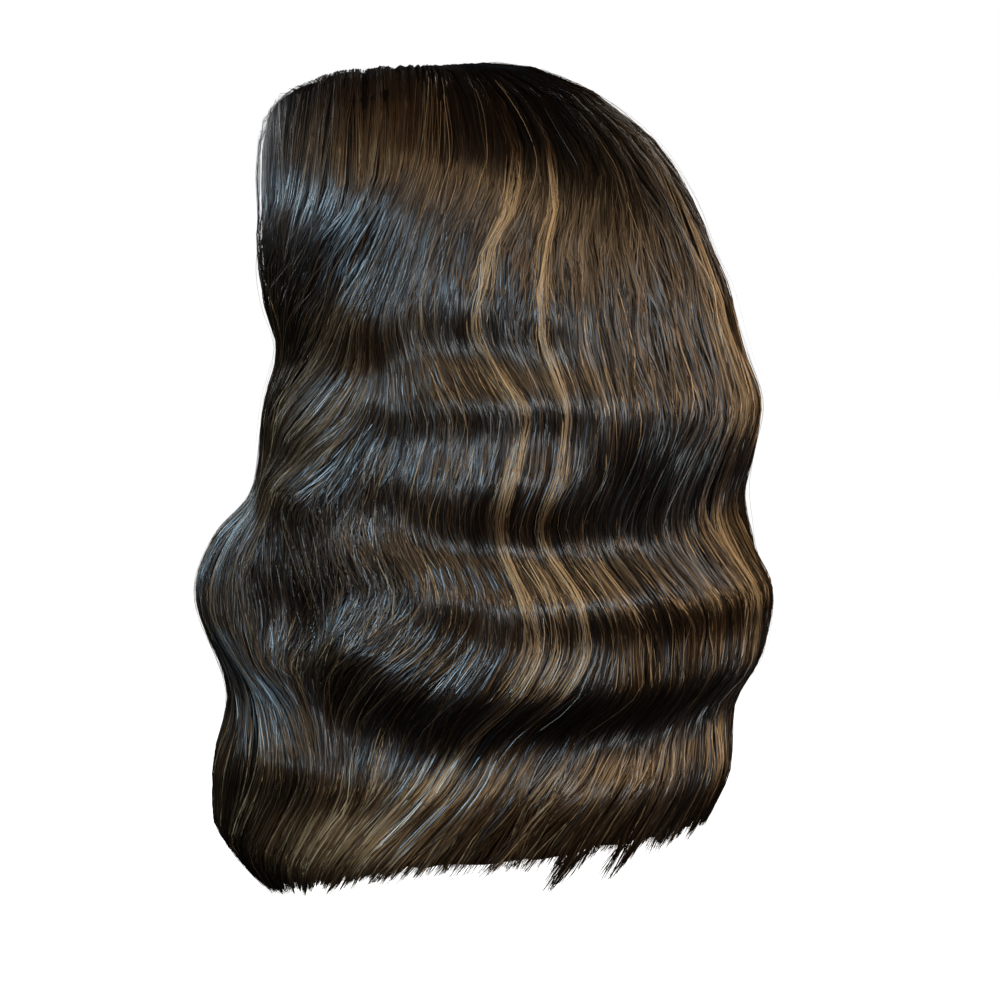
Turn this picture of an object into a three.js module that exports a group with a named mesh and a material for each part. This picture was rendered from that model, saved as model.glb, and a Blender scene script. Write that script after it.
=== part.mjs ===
// A long wavy wig: a thin stretch cap, an inner curtain of hair, outer hair in fused
// locks that run from the parting to the tips, and four lighter highlight locks.
//
// Millimetres, +Z up. The wearer faces -Y and the wearer's left is +X. The origin is
// the top of the hollow, where the crown of the head seats.
//
// turn is an angle round the head in degrees, from the back (+Y) to the left (+X).
// drop is the way down from the top of the hair, as a share of HAIR_HEIGHT.
// share is the place of a strand across the hair, from 0 at the front edge on the
// wearer's left, round the back, to 1 at the front edge on the right.
import * as THREE from 'three';

// Cap
const HEAD_HALF_WIDTH = 78;
const HEAD_HALF_LENGTH = 98;
const HEAD_HEIGHT = 100;
const HEAD_ROUNDNESS = 2.3;
const CAP_WALL = 1.5;

// Hair
const HAIR_OVER_SIDES = 14.5;
const HAIR_OVER_BACK = 12.5;
const HAIR_OVER_CROWN = 15;
const HAIR_HEIGHT = 400;
const ROOT_THICKNESS = 1.2;
const TIP_THICKNESS = 2.4;
const THINNEST_HAIR = 4.5;
const LOCK_GROOVE = 2.4;
const LOCK_SWELL = 1.6;
const TIP_POINT = 9;

// Parting, a short line a little to the wearer's left, with a small whorl at its end
const PART_SIDE = 8;
const PART_FRONT = 82;
const PART_BACK = 22;
const PART_HALF_WIDTH = 1.5;
const WHORL_RADIUS = 4.5;

// Inner curtain
const UNDER_TOP_THICKNESS = 1.5;
const UNDER_THICKNESS = 4;
const UNDER_TOP_DEPTH = 4;
const UNDER_FULL_DEPTH = 55;
const UNDER_CURTAIN_CLEARANCE = 2.5;

// Clearances
const LOCK_GAP = 0.5;
const HAIR_ON_CAP = 0.8;
const LIFT_OFF_CAP = 2.1;
const HAIR_ON_UNDER = 1.1;

const TOP = CAP_WALL + HAIR_OVER_CROWN;
const CAP_OUTER = {
  x: HEAD_HALF_WIDTH + CAP_WALL,
  y: HEAD_HALF_LENGTH + CAP_WALL,
  z: HEAD_HEIGHT + CAP_WALL,
};
const HAIR_OVAL = {
  x: CAP_OUTER.x + HAIR_OVER_SIDES,
  y: CAP_OUTER.y + HAIR_OVER_BACK,
  z: CAP_OUTER.z + HAIR_OVER_CROWN,
};

// Lower edge of the cap: hairline, temple, ear tab, over the ear, nape. depth is a
// share of HEAD_HEIGHT below the top of the head.
const CAP_EDGE = [
  { turn: 0, depth: 1.52 },
  { turn: 60, depth: 1.36 },
  { turn: 90, depth: 1.14 },
  { turn: 108, depth: 1.28 },
  { turn: 124, depth: 1.16 },
  { turn: 142, depth: 0.82 },
  { turn: 160, depth: 0.5 },
  { turn: 180, depth: 0.42 },
];

// Named sides of the hair: their turn, the squareness of the crown above them (2 is
// round, more is boxier), and the folds under them. Each fold is a crest or a valley:
// its drop, and how far the hair stands out there as a share of HAIR_OVAL.
const SIDES = [
  {
    name: 'right_front', turn: -150, squareness: 3.4,
    folds: [[0, 1.04], [0.193, 1.03], [0.289, 0.99], [0.342, 0.93], [0.402, 0.98], [0.51, 1.02],
      [0.57, 1.14], [0.636, 1.24], [0.762, 1.12], [0.858, 1.16], [0.912, 1.1], [1, 0.92]],
  },
  {
    name: 'right', turn: -110, squareness: 2.5,
    folds: [[0, 1.03], [0.193, 1.04], [0.289, 1.06], [0.342, 1.04], [0.402, 1.1], [0.456, 1.08],
      [0.51, 1.09], [0.57, 1.14], [0.636, 1.22], [0.762, 1.12], [0.858, 1.15], [0.912, 1.07],
      [1, 0.9]],
  },
  {
    name: 'right_back', turn: -30, squareness: 2,
    folds: [[0, 1.02], [0.193, 1.03], [0.289, 1.11], [0.342, 1.165], [0.402, 1.235], [0.456, 1.205],
      [0.51, 1.16], [0.57, 1.205], [0.636, 1.28], [0.702, 1.23], [0.762, 1.11], [0.858, 1.055],
      [0.912, 0.93], [1, 0.68]],
  },
  {
    name: 'back', turn: 5, squareness: 2.02,
    folds: [[0, 1.035], [0.193, 1.045], [0.289, 1.09], [0.342, 1.145], [0.405, 1.2], [0.52, 1.11],
      [0.57, 1.165], [0.62, 1.26], [0.65, 1.242], [0.69, 1.24], [0.76, 1.12], [0.815, 1.15],
      [0.88, 1.06], [1, 0.8]],
  },
  {
    name: 'back_left', turn: 26, squareness: 2.1,
    folds: [[0, 1.04], [0.193, 1.04], [0.289, 1.08], [0.342, 1.125], [0.4, 1.18], [0.54, 1.09],
      [0.612, 1.245], [0.65, 1.226], [0.7, 1.232], [0.77, 1.1], [0.82, 1.14], [0.88, 1.07],
      [1, 0.83]],
  },
  {
    name: 'left_back', turn: 48, squareness: 2.2,
    folds: [[0, 1.035], [0.193, 1.04], [0.285, 1.085], [0.328, 1.075], [0.385, 1.13], [0.415, 1.11],
      [0.475, 1.16], [0.55, 1.1], [0.61, 1.228], [0.65, 1.212], [0.705, 1.226], [0.77, 1.1],
      [0.825, 1.13], [0.88, 1.06], [1, 0.86]],
  },
  {
    name: 'left_behind_ear', turn: 68, squareness: 2.45,
    folds: [[0, 1.035], [0.193, 1.04], [0.275, 1.075], [0.33, 1.045], [0.378, 1.095], [0.42, 1.065],
      [0.482, 1.125], [0.555, 1.085], [0.6, 1.18], [0.645, 1.163], [0.705, 1.188], [0.785, 1.08],
      [0.838, 1.12], [0.885, 1.09], [1, 0.89]],
  },
  {
    name: 'left', turn: 89, squareness: 2.75,
    folds: [[0, 1.03], [0.15, 1.045], [0.22, 1.025], [0.3, 1.055], [0.35, 1.01], [0.395, 1.05],
      [0.415, 1.04], [0.475, 1.08], [0.51, 1.07], [0.56, 1.12], [0.6, 1.1], [0.67, 1.205],
      [0.76, 1.09], [0.835, 1.15], [0.86, 1.14], [0.9, 1.155], [1, 0.94]],
  },
  {
    name: 'left_temple', turn: 112, squareness: 3.3,
    folds: [[0, 1.03], [0.193, 1.05], [0.29, 1.03], [0.345, 0.995], [0.44, 1.08], [0.455, 1.075],
      [0.505, 1.14], [0.56, 1.125], [0.585, 1.13], [0.64, 1.105], [0.7, 1.155], [0.735, 1.14],
      [0.83, 1.19], [0.862, 1.175], [0.92, 1.19], [1, 0.97]],
  },
  {
    name: 'left_front', turn: 150, squareness: 5,
    folds: [[0, 1.04], [0.193, 1.03], [0.289, 0.98], [0.342, 0.92], [0.402, 0.97], [0.51, 1.02],
      [0.57, 1.2], [0.636, 1.29], [0.762, 1.15], [0.858, 1.22], [0.912, 1.22], [1, 0.98]],
  },
];

// Outward spread of the inner curtain below the cap, as a share of HAIR_OVER_SIDES.
const UNDER_SPREAD = [
  { drop: 0.34, out: 0 },
  { drop: 0.46, out: 0.35 },
  { drop: 0.57, out: 1.05 },
  { drop: 0.66, out: 1.35 },
  { drop: 0.76, out: 1.0 },
  { drop: 0.86, out: 1.0 },
  { drop: 0.92, out: 0.5 },
  { drop: 1.0, out: -0.6 },
];

// Guide strands: their share across the hair and the drop of their tips.
const GUIDES = [
  { name: 'left_edge', share: 0, tip: 1.0 },
  { name: 'left_front', share: 0.07, tip: 0.99 },
  { name: 'left', share: 0.13, tip: 0.98 },
  { name: 'left_sweep', share: 0.215, tip: 0.968 },
  { name: 'left_back', share: 0.3, tip: 0.955 },
  { name: 'back_left', share: 0.39, tip: 0.935 },
  { name: 'back_middle', share: 0.436, tip: 0.922 },
  { name: 'back', share: 0.48, tip: 0.91 },
  { name: 'back_right', share: 0.54, tip: 0.895 },
  { name: 'right', share: 0.78, tip: 0.89 },
  { name: 'right_edge', share: 1, tip: 0.98 },
];
// Where the guides hang, as a turn in degrees: a row for each bend, with a column for
// each of GUIDES in the same order.
const BENDS = [
  { drop: 0, turns: [141, 96, 81, 76, 70, 46, 37, 25, 10, -61, -141] },
  { drop: 0.1, turns: [142, 99, 84, 78, 71, 48, 38, 26, 11, -62, -142] },
  { drop: 0.22, turns: [149, 114, 97, 87, 78, 59, 45, 33, 10, -60, -149] },
  { drop: 0.3, turns: [152, 126, 106, 93, 82, 60, 46, 33, 9, -66, -153] },
  { drop: 0.35, turns: [153, 136, 117, 96, 80, 55, 43, 32, 8, -69, -152] },
  { drop: 0.4, turns: [154, 141, 128, 103, 77, 50, 41, 31, 9, -70, -151] },
  { drop: 0.45, turns: [155, 144, 133, 115, 79, 52, 42, 31, 12, -67, -153] },
  { drop: 0.52, turns: [155, 146, 138, 128, 81, 56, 46, 34, 14, -64, -155] },
  { drop: 0.6, turns: [158, 150, 142, 131, 73, 50, 40, 29, 9, -70, -154] },
  { drop: 0.65, turns: [158, 149, 142, 130, 77, 48, 38, 25, 6, -68, -156] },
  { drop: 0.7, turns: [157, 148, 136, 126, 88, 52, 42, 25, 7, -66, -157] },
  { drop: 0.76, turns: [158, 148, 128, 113, 97, 62, 52, 29, 10, -62, -155] },
  { drop: 0.82, turns: [158, 149, 124, 108, 96, 70, 59, 36, 14, -64, -157] },
  { drop: 0.88, turns: [159, 150, 130, 115, 102, 82, 69, 43, 17, -65, -158] },
  { drop: 1.0, turns: [160, 153, 142, 131, 119, 106, 90, 60, 26, -58, -159] },
];

// Outer hair: each section is a few locks fused along their edges.
const HAIR = '#2c2118';
const GOLD = '#8c6a3f';
const SECTIONS = [
  { name: 'hair_left_front', from: 0, to: 0.13, locks: 3, colour: HAIR },
  { name: 'hair_left', from: 0.13, to: 0.235, locks: 4, colour: HAIR },
  { name: 'highlight_left', from: 0.235, to: 0.255, locks: 1, colour: GOLD },
  { name: 'hair_left_back', from: 0.255, to: 0.38, locks: 3, colour: HAIR },
  { name: 'highlight_back_left', from: 0.38, to: 0.4, locks: 1, colour: GOLD },
  { name: 'hair_back', from: 0.4, to: 0.426, locks: 1, colour: HAIR },
  { name: 'highlight_back', from: 0.426, to: 0.446, locks: 1, colour: GOLD },
  { name: 'hair_back_right', from: 0.446, to: 0.574, locks: 4, colour: HAIR },
  { name: 'highlight_right', from: 0.574, to: 0.594, locks: 1, colour: GOLD },
  { name: 'hair_right', from: 0.594, to: 0.73, locks: 3, colour: HAIR },
  { name: 'hair_right_side', from: 0.73, to: 0.87, locks: 3, colour: HAIR },
  { name: 'hair_right_front', from: 0.87, to: 1, locks: 3, colour: HAIR },
];
const SIDES_PER_LOCK = 3;
const SIDES_PER_HIGHLIGHT = 1;
const CROWN_ROWS = [0, 0.05, 0.13, 0.24, 0.36, 0.49, 0.62, 0.75, 0.88, 1];
const HANGING_ROWS = 18;
const CAP_AROUND = 36;
const CAP_DOWN = 7;
const UNDER_ACROSS = 24;
const UNDER_DOWN = 9;
const UNDER_FROM = 0.05;
const UNDER_TO = 0.95;
const UNDER_END = 0.93;

const DEGREE = Math.PI / 180;
const PART_SHARE = GUIDES.find((one) => one.name === 'left_back').share;
const PART_CROWDING = 2.2;

function smooth(value) {
  const t = Math.min(Math.max(value, 0), 1);
  return t * t * (3 - 2 * t);
}

// A curve through the points that has no bulge between them: flat at each high and
// low, and otherwise with the harmonic mean of the slopes on both sides.
function curveThrough(at, values, place) {
  const last = at.length - 1;
  if (place <= at[0]) return values[0];
  if (place >= at[last]) return values[last];
  const i = at.findIndex((next, n) => n < last && place < at[n + 1]);
  const slope = (n) => (values[n + 1] - values[n]) / (at[n + 1] - at[n]);
  const tangent = (n) => {
    if (n === 0) return slope(0);
    if (n === last) return slope(last - 1);
    const before = slope(n - 1);
    const after = slope(n);
    return before * after <= 0 ? 0 : (2 * before * after) / (before + after);
  };
  const width = at[i + 1] - at[i];
  const t = (place - at[i]) / width;
  const rise = values[i + 1] - values[i];
  const bend = t * (1 - t) * width * ((1 - t) * tangent(i) - t * tangent(i + 1));
  return values[i] + rise * smooth(t) + bend;
}

// Blends the values at the named sides of the head smoothly round a full turn.
function roundTheHead(turn, valueAtSide) {
  const first = SIDES[0].turn;
  let angle = turn;
  while (angle < first) angle += 360;
  while (angle >= first + 360) angle -= 360;
  let i = SIDES.length - 1;
  while (SIDES[i].turn > angle) i -= 1;
  const next = (i + 1) % SIDES.length;
  const nextTurn = next === 0 ? first + 360 : SIDES[next].turn;
  const t = smooth((angle - SIDES[i].turn) / (nextTurn - SIDES[i].turn));
  return valueAtSide(i) * (1 - t) + valueAtSide(next) * t;
}

function ovalRadius(oval, turn) {
  return 1 / Math.hypot(Math.sin(turn * DEGREE) / oval.x, Math.cos(turn * DEGREE) / oval.y);
}

// Distance from the head's centre to a rounded box of a given squareness. tilt is
// the angle from straight up.
function domeReach(radius, height, squareness, tilt) {
  const out = Math.abs(Math.sin(tilt)) / radius;
  const up = Math.abs(Math.cos(tilt)) / height;
  return (out ** squareness + up ** squareness) ** (-1 / squareness);
}

function dropAt(z) {
  return (TOP - z) / HAIR_HEIGHT;
}

function standsOut(turn, z) {
  const outOfSide = (side) => {
    const folds = SIDES[side].folds;
    return curveThrough(folds.map(([drop]) => drop), folds.map(([, out]) => out), dropAt(z));
  };
  return roundTheHead(turn, outOfSide);
}

// Radius of the hair's outer form where it hangs, below the widest level.
function hangingRadius(turn, z) {
  return ovalRadius(HAIR_OVAL, turn) * standsOut(turn, z);
}

// Radius of the face between the inner curtain and the outer hair.
function curtainRadius(turn, z) {
  const drops = UNDER_SPREAD.map((row) => row.drop);
  const spread = curveThrough(drops, UNDER_SPREAD.map((row) => row.out), dropAt(z)) * HAIR_OVER_SIDES;
  const plain = ovalRadius(CAP_OUTER, turn) + UNDER_CURTAIN_CLEARANCE + spread;
  return Math.min(plain, hangingRadius(turn, z) - THINNEST_HAIR - HAIR_ON_UNDER);
}

// Turn of the strand with a given share, at a given drop.
function strandTurn(share, drop) {
  const drops = BENDS.map((row) => row.drop);
  const turns = GUIDES.map((one, n) => curveThrough(drops, BENDS.map((row) => row.turns[n]), drop));
  return curveThrough(GUIDES.map((one) => one.share), turns, share);
}

function tipDrop(share) {
  return curveThrough(GUIDES.map((one) => one.share), GUIDES.map((one) => one.tip), share);
}

// Direction from the head's centre to a point on the cap, given its plan place.
function directionOnCap(x, y) {
  const used = Math.abs(x / CAP_OUTER.x) ** HEAD_ROUNDNESS + Math.abs(y / CAP_OUTER.y) ** HEAD_ROUNDNESS;
  const z = CAP_OUTER.z * (1 - used) ** (1 / HEAD_ROUNDNESS);
  return new THREE.Vector3(x, y, z).normalize();
}

// Root of a strand: along one side of the parting, round the whorl at its end, and
// back along the other side.
function rootDirection(share) {
  const side = share < 0.5 ? 1 : -1;
  const inward = (share < 0.5 ? share : 1 - share) / PART_SHARE;
  if (inward < 1) {
    const along = 1 - (1 - inward) ** PART_CROWDING;
    const y = -PART_FRONT + (PART_FRONT - PART_BACK) * along;
    const half = PART_HALF_WIDTH + (WHORL_RADIUS - PART_HALF_WIDTH) * along;
    return directionOnCap(PART_SIDE + side * half, y);
  }
  const angle = Math.PI * ((share - PART_SHARE) / (1 - 2 * PART_SHARE));
  const x = PART_SIDE + WHORL_RADIUS * Math.cos(angle);
  return directionOnCap(x, -PART_BACK + WHORL_RADIUS * Math.sin(angle));
}

// Direction of a strand on the crown, q running from 0 at the root to 1 at the
// widest level: it leaves the root and joins the way its guides hang.
function crownDirection(share, q) {
  const root = rootDirection(share);
  const rootTilt = Math.acos(root.z);
  const tilt = rootTilt + (Math.PI / 2 - rootTilt) * q;
  const z = -HEAD_HEIGHT + HAIR_OVAL.z * Math.cos(tilt);
  const turn = strandTurn(share, dropAt(z)) * DEGREE;
  const joined = smooth(q / 0.5);
  const x = root.x * (1 - joined) + Math.sin(tilt) * Math.sin(turn) * joined;
  const y = root.y * (1 - joined) + Math.sin(tilt) * Math.cos(turn) * joined;
  return new THREE.Vector3(x, y, Math.sqrt(Math.max(0, 1 - x * x - y * y)));
}

// Inner and outer point of the hair on the crown. lift raises the outer point.
function crownPoints(share, q, lift) {
  const direction = crownDirection(share, q);
  const turn = Math.atan2(direction.x, direction.y) / DEGREE;
  const tilt = Math.acos(direction.z);
  const cap = domeReach(ovalRadius(CAP_OUTER, turn), CAP_OUTER.z, HEAD_ROUNDNESS, tilt);
  const level = -HEAD_HEIGHT + HAIR_OVAL.z * direction.z;
  const squareness = roundTheHead(turn, (side) => SIDES[side].squareness);
  const radius = ovalRadius(HAIR_OVAL, turn) * standsOut(turn, level);
  const form = domeReach(radius, HAIR_OVAL.z, squareness, tilt);
  const onLayer = smooth((q - 0.55) / 0.45) * (UNDER_CURTAIN_CLEARANCE - HAIR_ON_CAP + HAIR_ON_UNDER);
  const inner = cap + HAIR_ON_CAP + LIFT_OFF_CAP * Math.sin(Math.PI * q) + onLayer;
  const rise = Math.sqrt(1 - (1 - Math.min(q / 0.3, 1)) ** 2);
  const outer = inner + ROOT_THICKNESS + (form + lift - inner - ROOT_THICKNESS) * rise;
  const centre = new THREE.Vector3(0, 0, -HEAD_HEIGHT);
  return {
    inner: direction.clone().multiplyScalar(inner).add(centre),
    outer: direction.clone().multiplyScalar(outer).add(centre),
  };
}

// The point at a turn in degrees, a distance out from the middle and a height.
function pointAt(turn, radius, z) {
  return new THREE.Vector3(radius * Math.sin(turn * DEGREE), radius * Math.cos(turn * DEGREE), z);
}

// Inner and outer point of the hair where it hangs, down from 0 to 1 at the tip.
function hangingPoints(share, down, lift, longer) {
  const tipZ = TOP - HAIR_HEIGHT * tipDrop(share) - longer;
  const z = -HEAD_HEIGHT + (tipZ + HEAD_HEIGHT) * down;
  const turn = strandTurn(share, dropAt(z));
  const outer = hangingRadius(turn, z) + lift;
  const onCurtain = curtainRadius(turn, z) + HAIR_ON_UNDER;
  const thinning = smooth((down - 0.78) / 0.22);
  const inner = onCurtain * (1 - thinning) + (outer - TIP_THICKNESS) * thinning;
  return { inner: pointAt(turn, inner, z), outer: pointAt(turn, outer, z) };
}

// A row is one step down a strand, on the crown first and then hanging.
const STRAND_ROWS = [
  ...CROWN_ROWS.map((q) => ({ q })),
  ...Array.from({ length: HANGING_ROWS }, (unused, n) => ({ down: (n + 1) / HANGING_ROWS })),
];

function strandPoints(share, row, lift, longer) {
  if (row.q === undefined) return hangingPoints(share, row.down, lift, longer);
  return crownPoints(share, row.q, lift);
}

// The share that lies a set distance beside a given one, at one row.
function shareBeside(share, row, distance) {
  const step = 0.002;
  const before = strandPoints(Math.max(share - step, 0), row, 0, 0).outer;
  const after = strandPoints(Math.min(share + step, 1), row, 0, 0).outer;
  const span = Math.min(share + step, 1) - Math.max(share - step, 0);
  return share + (distance * span) / Math.max(before.distanceTo(after), 1e-6);
}

// A repeatable value from -1 to 1 that differs from lock to lock.
function lockVariation(number, kind) {
  const wave = Math.sin(number * 12.9898 + kind * 78.233) * 43758.5453;
  return 2 * (wave - Math.floor(wave)) - 1;
}

// Closes a grid of inner and outer points into one body. columns[i][j] goes across
// towards the right of the head and down the hair.
function closedShell(columns) {
  const across = columns.length;
  const down = columns[0].length;
  const position = [];
  for (const side of ['outer', 'inner']) {
    for (const column of columns) {
      for (const point of column) position.push(...point[side].toArray());
    }
  }
  const outer = (i, j) => i * down + j;
  const inner = (i, j) => across * down + i * down + j;
  const index = [];
  const quad = (a, b, c, d) => index.push(a, b, c, a, c, d);
  for (let i = 0; i + 1 < across; i += 1) {
    for (let j = 0; j + 1 < down; j += 1) {
      quad(outer(i, j), outer(i, j + 1), outer(i + 1, j + 1), outer(i + 1, j));
      quad(inner(i, j), inner(i + 1, j), inner(i + 1, j + 1), inner(i, j + 1));
    }
    quad(outer(i, 0), outer(i + 1, 0), inner(i + 1, 0), inner(i, 0));
    quad(outer(i, down - 1), inner(i, down - 1), inner(i + 1, down - 1), outer(i + 1, down - 1));
  }
  for (let j = 0; j + 1 < down; j += 1) {
    quad(outer(0, j), inner(0, j), inner(0, j + 1), outer(0, j + 1));
    quad(outer(across - 1, j), outer(across - 1, j + 1), inner(across - 1, j + 1), inner(across - 1, j));
  }
  return bodyFrom(position, index);
}

function bodyFrom(position, index) {
  const geometry = new THREE.BufferGeometry();
  geometry.setAttribute('position', new THREE.Float32BufferAttribute(position, 3));
  geometry.setIndex(index);
  geometry.computeVertexNormals();
  return geometry;
}

// One section of the outer hair: each lock is crowned, with a groove on both sides
// and a pointed tip, and swells a little more or less than its neighbours.
function hairSection({ from, to, locks }, number) {
  const sides = locks === 1 && to - from < 0.03 ? SIDES_PER_HIGHLIGHT : SIDES_PER_LOCK;
  const steps = locks * sides;
  const columns = [];
  for (let i = 0; i <= steps; i += 1) {
    const share = from + ((to - from) * i) / steps;
    const lock = Math.min(Math.floor(i / sides), locks - 1);
    const crowned = Math.sin((Math.PI * (i % sides)) / sides);
    const swell = LOCK_SWELL * lockVariation(number * 5 + lock, 1);
    const longer = crowned * TIP_POINT * (0.7 + 0.3 * lockVariation(number * 5 + lock, 2));
    const column = STRAND_ROWS.map((row) => {
      const lift = -LOCK_GROOVE * (1 - crowned) + swell * crowned;
      let placed = share;
      if (i === 0 && from > 0) placed = shareBeside(share, row, LOCK_GAP / 2);
      if (i === steps && to < 1) placed = shareBeside(share, row, -LOCK_GAP / 2);
      return strandPoints(placed, row, lift, longer);
    });
    columns.push(column);
  }
  return closedShell(columns);
}

// Inner curtain: a smooth wall of hair from the cap's widest level down, open at
// the face.
function underLayer() {
  const columns = [];
  for (let i = 0; i <= UNDER_ACROSS; i += 1) {
    const share = UNDER_FROM + ((UNDER_TO - UNDER_FROM) * i) / UNDER_ACROSS;
    const column = [];
    for (let j = 0; j <= UNDER_DOWN; j += 1) {
      const bottom = TOP - HAIR_HEIGHT * tipDrop(share) * UNDER_END;
      const top = -HEAD_HEIGHT - UNDER_TOP_DEPTH;
      const z = top + ((bottom - top) * j) / UNDER_DOWN;
      const turn = strandTurn(share, dropAt(z));
      const grown = smooth((top - z) / UNDER_FULL_DEPTH);
      const thickness = UNDER_TOP_THICKNESS + (UNDER_THICKNESS - UNDER_TOP_THICKNESS) * grown;
      const outer = curtainRadius(turn, z);
      column.push({ inner: pointAt(turn, outer - thickness, z), outer: pointAt(turn, outer, z) });
    }
    columns.push(column);
  }
  return closedShell(columns);
}

// How far down from straight up the cap reaches at a turn from 0 to 180 degrees.
function capEdgeTilt(turn) {
  const depth = curveThrough(CAP_EDGE.map((row) => row.turn), CAP_EDGE.map((row) => row.depth), turn);
  return Math.acos(1 - depth);
}

// Cap: a thin rounded shell with a shaped lower edge.
function capShell() {
  const position = [];
  const index = [];
  const shells = [CAP_OUTER, { x: HEAD_HALF_WIDTH, y: HEAD_HALF_LENGTH, z: HEAD_HEIGHT }];
  for (const form of shells) {
    position.push(0, 0, form.z - HEAD_HEIGHT);
    for (let i = 0; i < CAP_AROUND; i += 1) {
      const turn = (360 * i) / CAP_AROUND;
      const edgeTilt = capEdgeTilt(turn > 180 ? 360 - turn : turn);
      for (let j = 1; j <= CAP_DOWN; j += 1) {
        const tilt = (edgeTilt * j) / CAP_DOWN;
        const reach = domeReach(ovalRadius(form, turn), form.z, HEAD_ROUNDNESS, tilt);
        const out = reach * Math.sin(tilt);
        const z = reach * Math.cos(tilt) - HEAD_HEIGHT;
        position.push(out * Math.sin(turn * DEGREE), out * Math.cos(turn * DEGREE), z);
      }
    }
  }
  const perShell = 1 + CAP_AROUND * CAP_DOWN;
  const at = (shell, i, j) => shell * perShell + (j === 0 ? 0 : 1 + (i % CAP_AROUND) * CAP_DOWN + (j - 1));
  for (let i = 0; i < CAP_AROUND; i += 1) {
    for (let j = 0; j < CAP_DOWN; j += 1) {
      if (j > 0) {
        index.push(at(0, i, j), at(0, i + 1, j), at(0, i + 1, j + 1));
        index.push(at(1, i, j), at(1, i + 1, j + 1), at(1, i + 1, j));
      }
      index.push(at(0, i, j), at(0, i + 1, j + 1), at(0, i, j + 1));
      index.push(at(1, i, j), at(1, i, j + 1), at(1, i + 1, j + 1));
    }
    const edge = CAP_DOWN;
    index.push(at(0, i, edge), at(0, i + 1, edge), at(1, i + 1, edge));
    index.push(at(0, i, edge), at(1, i + 1, edge), at(1, i, edge));
  }
  return bodyFrom(position, index);
}

function named(name, geometry, colour, roughness) {
  const material = new THREE.MeshStandardMaterial({ color: colour, roughness, metalness: 0 });
  const mesh = new THREE.Mesh(geometry, material);
  mesh.name = name;
  return mesh;
}

const wig = new THREE.Group();
wig.name = 'wig';
wig.add(named('cap', capShell(), '#3b2d24', 0.85));
wig.add(named('under_layer', underLayer(), '#17110d', 0.6));
SECTIONS.forEach((section, number) => {
  wig.add(named(section.name, hairSection(section, number), section.colour, 0.45));
});

export default wig;
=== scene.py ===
import math

import bpy
import numpy as np
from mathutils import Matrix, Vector


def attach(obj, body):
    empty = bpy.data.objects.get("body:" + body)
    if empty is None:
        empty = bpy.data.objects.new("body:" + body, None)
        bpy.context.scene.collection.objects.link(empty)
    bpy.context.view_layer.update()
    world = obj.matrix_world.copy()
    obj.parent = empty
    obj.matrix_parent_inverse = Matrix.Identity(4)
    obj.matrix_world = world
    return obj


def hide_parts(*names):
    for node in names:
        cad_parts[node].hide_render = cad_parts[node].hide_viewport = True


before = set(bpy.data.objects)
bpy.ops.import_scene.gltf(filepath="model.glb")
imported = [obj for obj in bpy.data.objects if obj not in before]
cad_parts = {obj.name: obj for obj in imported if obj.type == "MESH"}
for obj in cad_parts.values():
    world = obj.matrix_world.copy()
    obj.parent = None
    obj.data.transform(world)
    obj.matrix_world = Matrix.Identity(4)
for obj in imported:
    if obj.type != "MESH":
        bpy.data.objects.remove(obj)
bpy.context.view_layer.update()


# Camera
# It stands behind the wearer's left, a little above the middle of the hair, far
# enough off that the hair is seen almost without perspective.
view_turn = math.radians(120)
view_rise = math.radians(7)
view_distance = 1.70
view_width = 0.480
view_aim = Vector((0.0, 0.0, -0.184))
aim_right = 0.0086
aim_down = 0.0086
sensor_width = 36.0
to_camera = Vector((math.sin(view_turn) * math.cos(view_rise),
                    -math.cos(view_turn) * math.cos(view_rise),
                    math.sin(view_rise)))
picture_right = Vector((math.cos(view_turn), math.sin(view_turn), 0.0))
picture_up = to_camera.cross(picture_right)
camera_data = bpy.data.cameras.new("camera")
camera_data.sensor_width = sensor_width
camera_data.lens = sensor_width * view_distance / view_width
camera = bpy.data.objects.new("camera", camera_data)
bpy.context.scene.collection.objects.link(camera)
camera.location = (view_aim + to_camera * view_distance
                   + picture_right * aim_right - picture_up * aim_down)
camera.rotation_euler = to_camera.to_track_quat("Z", "Y").to_euler()
bpy.context.scene.camera = camera
bpy.context.scene.view_settings.view_transform = "Standard"


# Cap
# A thin stretch-net shell that carries all the hair, with a hairline, ear tabs and a
# nape. It is sewn from net, and rows of weft run round it inside.
cap_inner = {"x": 78.0, "y": 98.0, "z": 100.0}
cap_wall = 1.5
cap_outer = {axis: size + cap_wall for axis, size in cap_inner.items()}
head_roundness = 2.3
cap_edge_turn = np.array([0, 60, 90, 108, 124, 142, 160, 180], float)
cap_edge_depth = np.array([1.52, 1.36, 1.14, 1.28, 1.16, 0.82, 0.5, 0.42])
cap_around = 120
cap_down = 66
cap_top_ring = 0.012
weft_spacing = 6.2
weft_height = 0.5
weft_narrowness = 1.4
weft_from_tilt = 0.5
weft_fades_over = 0.2
net_roughness = 0.8
net_cells_per_metre = 900.0
net_thread_edges = (0.05, 0.2)
net_thread_colour = (0.05, 0.033, 0.024, 1)
net_gap_colour = (0.013, 0.009, 0.007, 1)
net_bump = 0.5
net_thickness = 0.0004
millimetre = 0.001
tiny = 1e-9


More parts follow.
